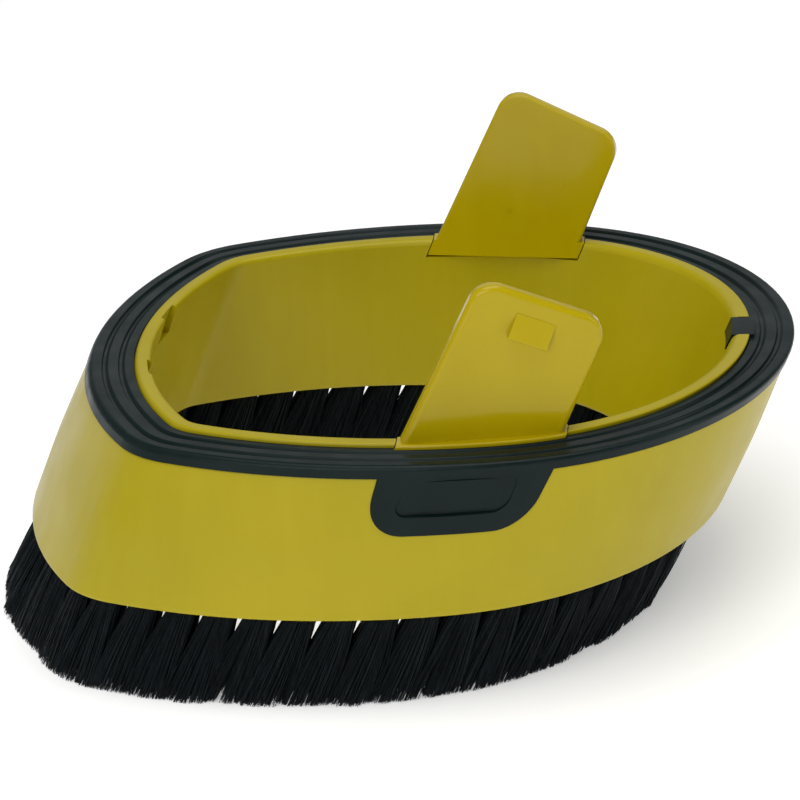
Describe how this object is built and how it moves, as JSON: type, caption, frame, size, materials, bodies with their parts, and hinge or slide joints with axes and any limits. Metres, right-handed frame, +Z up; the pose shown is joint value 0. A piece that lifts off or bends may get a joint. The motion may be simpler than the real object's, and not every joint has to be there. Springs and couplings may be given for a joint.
{
  "type": "clip-on bristle skirt for a bath sprayer",
  "caption": "Oval clip-on bristle skirt for a hand-held pet bath sprayer head: a leaning plastic collar with latch tongues, a rim cover and a fringe of bristle tufts.",
  "frame": {"origin": "middle of the footprint box, on the plane of the bristle tips", "axes": "+Z up from the bristle tips to the latch tongues, +X along the oval's length towards its round end, which is the way the skirt leans, +Y across; the skirt is mirror-symmetric about the XZ plane"},
  "size_m": [0.1624, 0.1282, 0.0828],
  "materials": {
    "yellow_shell": "satin moulded, opaque",
    "yellow_tongue": "satin moulded, opaque",
    "black_cover": "soft satin, fine moulded texture",
    "bristle": "fine nylon filament",
    "anchor_steel": "drawn wire"
  },
  "bodies": {
    "skirt": {"body_shell": "yellow_shell", "rim_cover": "black_cover", "tuft_anchors": "anchor_steel", "tuft_01": "bristle", "tuft_02": "bristle", "tuft_03": "bristle", "tuft_04": "bristle", "tuft_05": "bristle", "tuft_06": "bristle", "tuft_07": "bristle", "tuft_08": "bristle", "tuft_09": "bristle", "tuft_10": "bristle", "tuft_11": "bristle", "tuft_12": "bristle", "tuft_13": "bristle", "tuft_14": "bristle", "tuft_15": "bristle", "tuft_16": "bristle", "tuft_17": "bristle", "tuft_18": "bristle", "tuft_19": "bristle", "tuft_20": "bristle", "tuft_21": "bristle", "tuft_22": "bristle", "tuft_23": "bristle", "tuft_24": "bristle", "tuft_25": "bristle", "tuft_26": "bristle", "tuft_27": "bristle", "tuft_28": "bristle", "tuft_29": "bristle", "tuft_30": "bristle", "tuft_31": "bristle", "tuft_32": "bristle", "tuft_33": "bristle", "tuft_34": "bristle", "tuft_35": "bristle", "tuft_36": "bristle", "tuft_37": "bristle", "tuft_38": "bristle", "tuft_39": "bristle", "tuft_40": "bristle", "tuft_41": "bristle", "tuft_42": "bristle", "tuft_43": "bristle", "tuft_44": "bristle", "tuft_45": "bristle", "tuft_46": "bristle", "tuft_47": "bristle", "tuft_48": "bristle", "tuft_49": "bristle", "tuft_50": "bristle"},
    "front_tongue": {"latch_tongue_front": "yellow_tongue"},
    "back_tongue": {"latch_tongue_back": "yellow_tongue"}
  },
  "joints": [
    {"name": "front_tongue_flex", "type": "hinge", "parent": "skirt", "child": "front_tongue", "pos_m": [0.02124, -0.0513, 0.0488], "axis": [-0.9912, -0.1326, 0], "range_deg": [0, 5], "stiffness_Nm_per_rad": 1.5},
    {"name": "back_tongue_flex", "type": "hinge", "parent": "skirt", "child": "back_tongue", "pos_m": [0.02124, 0.0513, 0.0488], "axis": [0.9912, -0.1326, 0], "range_deg": [0, 5], "stiffness_Nm_per_rad": 1.5}
  ]
}
